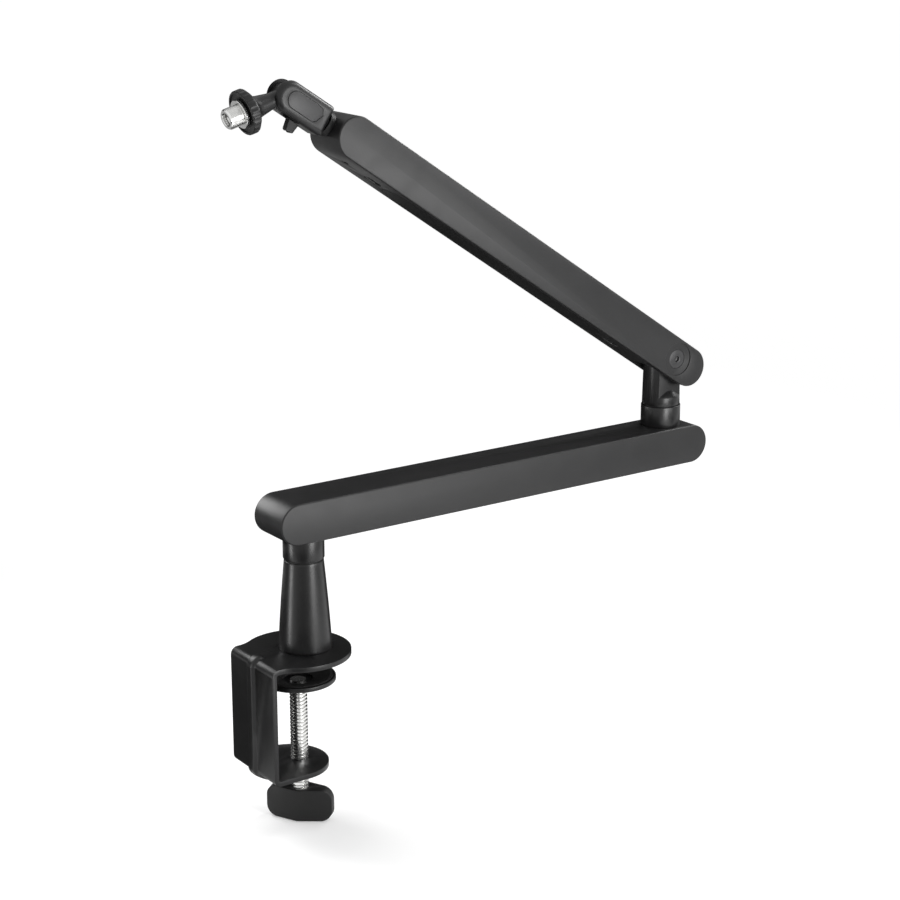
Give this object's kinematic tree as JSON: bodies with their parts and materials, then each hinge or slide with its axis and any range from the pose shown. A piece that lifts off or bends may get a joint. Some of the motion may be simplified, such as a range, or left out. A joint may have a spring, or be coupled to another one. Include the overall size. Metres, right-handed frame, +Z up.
{
  "type": "microphone boom arm",
  "caption": "Low-profile desk boom arm for a microphone: C-clamp, swivel post, box-section lower arm, elbow, spring-balanced upper arm and a tilting threaded head.",
  "frame": {"origin": "on the post's axis at the desk surface, which is the underside of the foam pad under the clamp's top plate", "axes": "+Z up; +X along the lower arm from the post to the elbow; the upper arm rises back towards -X; the shown pose lies in the XZ plane, and the clamp opens towards +X"},
  "size_m": [0.4557, 0.0848, 0.5867],
  "materials": {
    "clamp_paint": "satin black powder coat",
    "pad_rubber": "matte",
    "post_paint": "satin black",
    "arm_black": "black anodised, satin",
    "head_paint": "satin black",
    "cap_paint": "satin dark grey",
    "cover_plastic": "matte black",
    "black_plastic": "matte black",
    "bush_plastic": "smooth black",
    "steel": "zinc plated",
    "bright_steel": "bright nickel plated",
    "spring_steel": "oiled spring steel",
    "dark_steel": "black oxide",
    "arm_inner": "plain cast"
  },
  "bodies": {
    "clamp": {"clamp_frame": "clamp_paint", "desk_pad": "pad_rubber", "jaw_nut": "clamp_paint", "post": "post_paint", "post_screws": "steel", "post_lower_bush": "bush_plastic", "post_upper_bush": "bush_plastic"},
    "pressure": {"pressure_plate": "clamp_paint", "pressure_pad": "pad_rubber"},
    "screw": {"clamp_screw": "bright_steel", "clamp_knob": "black_plastic", "screw_tip": "bright_steel"},
    "lower_arm": {"lower_arm_shell": "arm_black", "base_collar": "post_paint", "base_spindle": "steel", "spindle_washer": "steel", "spindle_nut": "steel", "lower_cable_cover": "cover_plastic", "elbow_collar": "post_paint", "elbow_bush": "bush_plastic", "elbow_cap": "black_plastic"},
    "elbow": {"elbow_column": "post_paint", "elbow_spindle": "steel", "elbow_washer": "steel", "elbow_nut": "steel", "crank_pin": "steel"},
    "upper_arm": {"upper_arm_shell": "arm_black", "hinge_bolt": "dark_steel", "hinge_nut": "steel", "friction_washers": "bush_plastic", "balance_spring": "spring_steel", "spring_anchor": "arm_inner", "upper_cable_cover": "cover_plastic", "tip_plug": "arm_inner", "plug_screw": "dark_steel", "tip_spigot": "steel", "spigot_washer": "bush_plastic"},
    "link": {"spring_link": "steel"},
    "tip": {"tip_housing": "head_paint", "cheek_caps": "cap_paint", "tilt_pin": "steel"},
    "thumb": {"thumb_screw": "black_plastic"},
    "head": {"neck": "head_paint", "mic_stud": "bright_steel", "thread_adapter": "bright_steel"},
    "lock": {"lock_ring": "head_paint"}
  },
  "joints": [
    {"name": "screw_travel", "type": "slide", "parent": "clamp", "child": "pressure", "axis": [0, 0, 1], "range_m": [-0.06075, 0.01333]},
    {"name": "screw_turn", "type": "hinge", "parent": "pressure", "child": "screw", "pos_m": [-0.0074, 0, 0], "axis": [0, 0, 1], "range_deg": [-7296, 1604]},
    {"name": "base_swivel", "type": "hinge", "parent": "clamp", "child": "lower_arm", "pos_m": [0, 0, 0], "axis": [0, 0, 1], "continuous": true},
    {"name": "elbow_swivel", "type": "hinge", "parent": "lower_arm", "child": "elbow", "pos_m": [0.3604, 0, 0], "axis": [0, 0, 1], "continuous": true},
    {"name": "arm_tilt", "type": "hinge", "parent": "elbow", "child": "upper_arm", "pos_m": [0.3604, 0, 0.1919], "axis": [0, 1, 0], "range_deg": [-33.67, 41.3]},
    {"name": "link_turn", "type": "hinge", "parent": "elbow", "child": "link", "pos_m": [0.36533, 0, 0.19895], "axis": [0, 1, 0], "range_deg": [-33.8, 41.5]},
    {"name": "head_roll", "type": "hinge", "parent": "upper_arm", "child": "tip", "pos_m": [-0.0079, 0, 0.43664], "axis": [-0.8322, 0, 0.5544], "continuous": true},
    {"name": "head_tilt", "type": "hinge", "parent": "tip", "child": "head", "pos_m": [-0.0079, 0, 0.43664], "axis": [0, 1, 0], "range_deg": [-38, 140]},
    {"name": "lock_ring_turn", "type": "hinge", "parent": "head", "child": "lock", "pos_m": [-0.04208, 0, 0.42777], "axis": [-0.9588, 0, -0.284], "continuous": true},
    {"name": "thumb_turn", "type": "hinge", "parent": "tip", "child": "thumb", "pos_m": [0.0045, 0, 0.42838], "axis": [0.5544, 0, 0.8322], "continuous": true}
  ],
  "couplings": [
    {"joint": "screw_turn", "follows": "screw_travel", "rad_per_m": 2094.4},
    {"joint": "link_turn", "follows": "arm_tilt", "ratio": 1}
  ]
}
